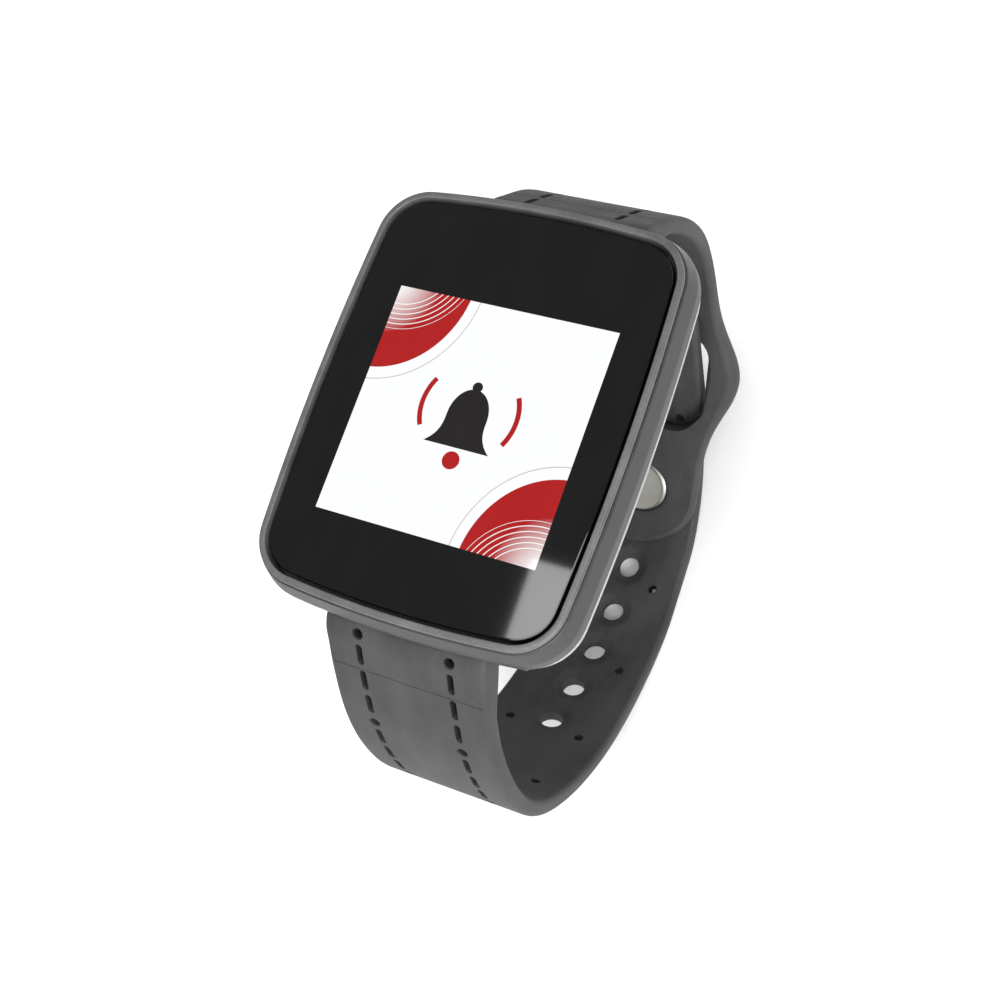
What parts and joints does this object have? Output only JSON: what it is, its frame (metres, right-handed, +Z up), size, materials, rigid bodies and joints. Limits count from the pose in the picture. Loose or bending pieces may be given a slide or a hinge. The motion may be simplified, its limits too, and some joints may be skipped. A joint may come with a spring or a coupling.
{
  "type": "wrist pager",
  "caption": "Wrist-worn call pager: touch screen in a barrel-shaped case with lit display, vibration motor and battery, on a two-piece pin-and-tuck silicone strap closed in its loop.",
  "frame": {"origin": "middle of the closed loop in plan, on the surface that the strap's lowest point stands on", "axes": "+Z up out of the screen, -Y towards 6 o'clock (the holed strap), +X towards 3 o'clock of the screen"},
  "size_m": [0.0417, 0.0755, 0.0706],
  "materials": {
    "lens_glass": "polished black-backed cover glass",
    "adhesive": "matt",
    "rim_plastic": "satin moulded",
    "case_plastic": "fine moulded texture",
    "seal_rubber": "matt",
    "cover_plastic": "satin silver",
    "screen": "lit display",
    "foil": "satin foil",
    "flex_film": "polyimide film",
    "board": "solder mask",
    "chip": "moulded epoxy",
    "gilt": "gilt",
    "white_plastic": "moulded",
    "wire_red": "insulated wire",
    "wire_black": "insulated wire",
    "steel": "turned",
    "silicone": "matt silicone",
    "stud_metal": "brushed"
  },
  "bodies": {
    "case": {"glass_lens": "lens_glass", "lens_adhesive": "adhesive", "front_bezel": "rim_plastic", "mid_case": "case_plastic", "case_seal": "seal_rubber", "rear_cover": "cover_plastic", "rear_screw_1": "steel", "rear_screw_2": "steel", "rear_screw_3": "steel", "rear_screw_4": "steel", "charge_contact_1": "gilt", "charge_contact_2": "gilt", "lcd_panel": "screen", "lcd_backlight": "foil", "lcd_flex": "flex_film", "main_board": "board", "rf_shield": "foil", "radio_chip": "chip", "processor_chip": "chip", "clock_crystal": "foil", "antenna": "gilt", "battery_cell": "foil", "battery_pad": "seal_rubber", "battery_plug": "white_plastic", "battery_lead_positive": "wire_red", "battery_lead_negative": "wire_black", "buzzer": "chip", "motor_can": "steel", "motor_boot": "seal_rubber", "key_seal": "seal_rubber", "key_switch": "steel", "lower_bar_tube": "steel", "lower_bar_spring": "steel", "upper_bar_tube": "steel", "upper_bar_spring": "steel"},
    "lower_strap": {"long_strap_band": "silicone", "long_strap_tail": "silicone"},
    "upper_strap": {"short_strap": "silicone", "closure_stud": "stud_metal"},
    "motor_rotor": {"motor_shaft": "steel", "motor_weight": "gilt"},
    "power_key": {"power_key": "rim_plastic"},
    "lower_pin_left": {"lower_bar_pin_left": "steel"},
    "lower_pin_right": {"lower_bar_pin_right": "steel"},
    "upper_pin_left": {"upper_bar_pin_left": "steel"},
    "upper_pin_right": {"upper_bar_pin_right": "steel"}
  },
  "joints": [
    {"name": "lower_strap_hinge", "type": "hinge", "parent": "case", "child": "lower_strap", "pos_m": [0, -0.02224, 0.06331], "axis": [1, 0, 0], "range_deg": [-45, 0], "deforming": ["long_strap_tail"]},
    {"name": "upper_strap_hinge", "type": "hinge", "parent": "case", "child": "upper_strap", "pos_m": [0, 0.02516, 0.06331], "axis": [1, 0, 0], "range_deg": [0, 45]},
    {"name": "motor_spin", "type": "hinge", "parent": "case", "child": "motor_rotor", "pos_m": [0, -0.01474, 0.06166], "axis": [1, 0, 0], "continuous": true},
    {"name": "power_key_press", "type": "slide", "parent": "case", "child": "power_key", "axis": [1, 0, 0], "range_m": [0, 0.00035], "stiffness_N_per_m": 800, "springref_m": -0.001},
    {"name": "lower_bar_pin_left_slide", "type": "slide", "parent": "case", "child": "lower_pin_left", "axis": [1, 0, 0], "range_m": [0, 0.0016], "stiffness_N_per_m": 250, "springref_m": -0.004, "deforming": ["lower_bar_spring"]},
    {"name": "lower_bar_pin_right_slide", "type": "slide", "parent": "case", "child": "lower_pin_right", "axis": [-1, 0, 0], "range_m": [0, 0.0016], "stiffness_N_per_m": 250, "springref_m": -0.004, "deforming": ["lower_bar_spring"]},
    {"name": "upper_bar_pin_left_slide", "type": "slide", "parent": "case", "child": "upper_pin_left", "axis": [1, 0, 0], "range_m": [0, 0.0016], "stiffness_N_per_m": 250, "springref_m": -0.004, "deforming": ["upper_bar_spring"]},
    {"name": "upper_bar_pin_right_slide", "type": "slide", "parent": "case", "child": "upper_pin_right", "axis": [-1, 0, 0], "range_m": [0, 0.0016], "stiffness_N_per_m": 250, "springref_m": -0.004, "deforming": ["upper_bar_spring"]}
  ]
}
